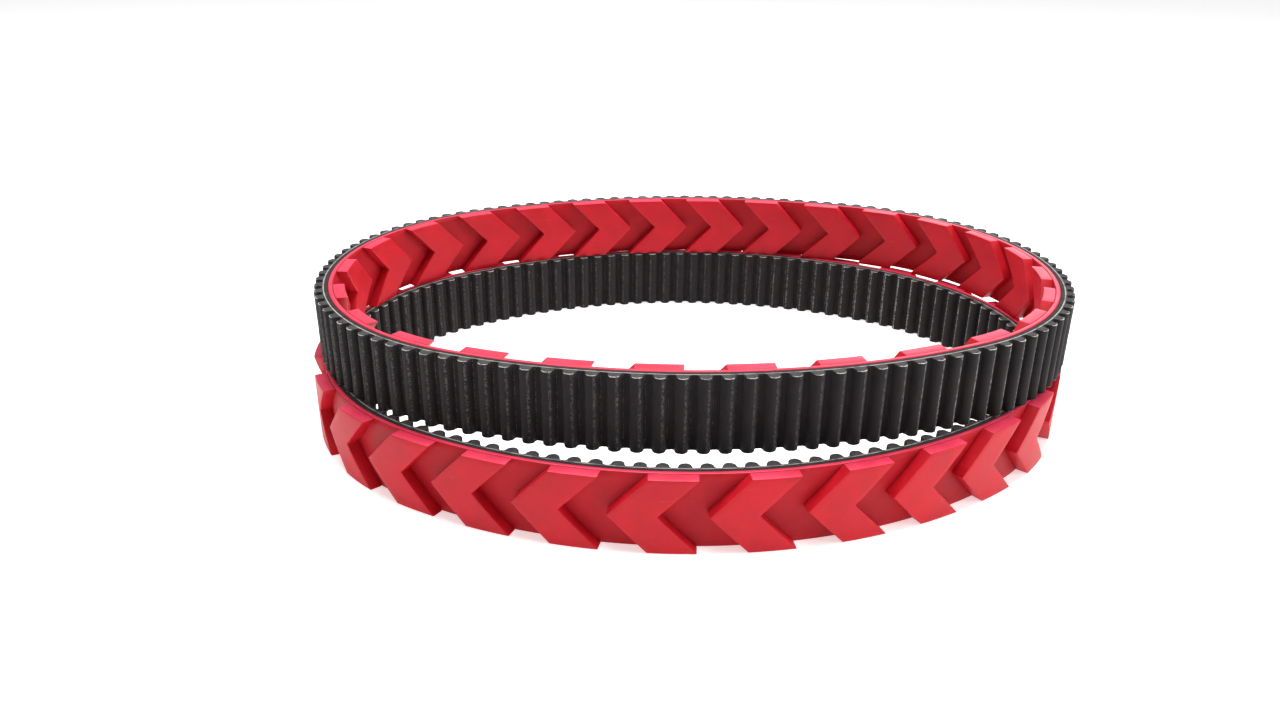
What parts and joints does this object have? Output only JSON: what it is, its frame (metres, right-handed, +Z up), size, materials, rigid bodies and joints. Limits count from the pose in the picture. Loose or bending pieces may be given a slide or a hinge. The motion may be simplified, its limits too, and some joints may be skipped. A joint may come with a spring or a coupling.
{
  "type": "toothed haul-off belt pair",
  "caption": "Two endless toothed rubber timing belts with a red chevron tread, one standing on edge on the other, the upper turned inside out.",
  "frame": {"origin": "middle of the ground that the pair covers, at the lower belt's bottom edge", "axes": "+X along the loops' long way, +Z up, across the width of the belts"},
  "size_m": [0.3392, 0.2662, 0.0601],
  "materials": {
    "tooth_fabric": "matte",
    "belt_rubber": "matte",
    "glass_cord": "satin",
    "tread_rubber": "satin",
    "lug_rubber": "satin"
  },
  "bodies": {
    "lower_belt": {"lower_tooth_facing": "tooth_fabric", "lower_tooth_rubber": "belt_rubber", "lower_cord_ply": "glass_cord", "lower_backing_rubber": "belt_rubber", "lower_tread_cover": "tread_rubber", "lower_lug_01": "lug_rubber", "lower_lug_02": "lug_rubber", "lower_lug_03": "lug_rubber", "lower_lug_04": "lug_rubber", "lower_lug_05": "lug_rubber", "lower_lug_06": "lug_rubber", "lower_lug_07": "lug_rubber", "lower_lug_08": "lug_rubber", "lower_lug_09": "lug_rubber", "lower_lug_10": "lug_rubber", "lower_lug_11": "lug_rubber", "lower_lug_12": "lug_rubber", "lower_lug_13": "lug_rubber", "lower_lug_14": "lug_rubber", "lower_lug_15": "lug_rubber", "lower_lug_16": "lug_rubber", "lower_lug_17": "lug_rubber", "lower_lug_18": "lug_rubber", "lower_lug_19": "lug_rubber", "lower_lug_20": "lug_rubber", "lower_lug_21": "lug_rubber", "lower_lug_22": "lug_rubber", "lower_lug_23": "lug_rubber", "lower_lug_24": "lug_rubber", "lower_lug_25": "lug_rubber"},
    "upper_belt": {"upper_tooth_facing": "tooth_fabric", "upper_tooth_rubber": "belt_rubber", "upper_cord_ply": "glass_cord", "upper_backing_rubber": "belt_rubber", "upper_tread_cover": "tread_rubber", "upper_lug_01": "lug_rubber", "upper_lug_02": "lug_rubber", "upper_lug_03": "lug_rubber", "upper_lug_04": "lug_rubber", "upper_lug_05": "lug_rubber", "upper_lug_06": "lug_rubber", "upper_lug_07": "lug_rubber", "upper_lug_08": "lug_rubber", "upper_lug_09": "lug_rubber", "upper_lug_10": "lug_rubber", "upper_lug_11": "lug_rubber", "upper_lug_12": "lug_rubber", "upper_lug_13": "lug_rubber", "upper_lug_14": "lug_rubber", "upper_lug_15": "lug_rubber", "upper_lug_16": "lug_rubber", "upper_lug_17": "lug_rubber", "upper_lug_18": "lug_rubber", "upper_lug_19": "lug_rubber", "upper_lug_20": "lug_rubber", "upper_lug_21": "lug_rubber", "upper_lug_22": "lug_rubber", "upper_lug_23": "lug_rubber", "upper_lug_24": "lug_rubber", "upper_lug_25": "lug_rubber"}
  },
  "joints": [
    {"name": "upper_belt_lift", "type": "slide", "parent": "lower_belt", "child": "upper_belt", "axis": [0, 0, 1], "range_m": [0, 0.06]}
  ]
}
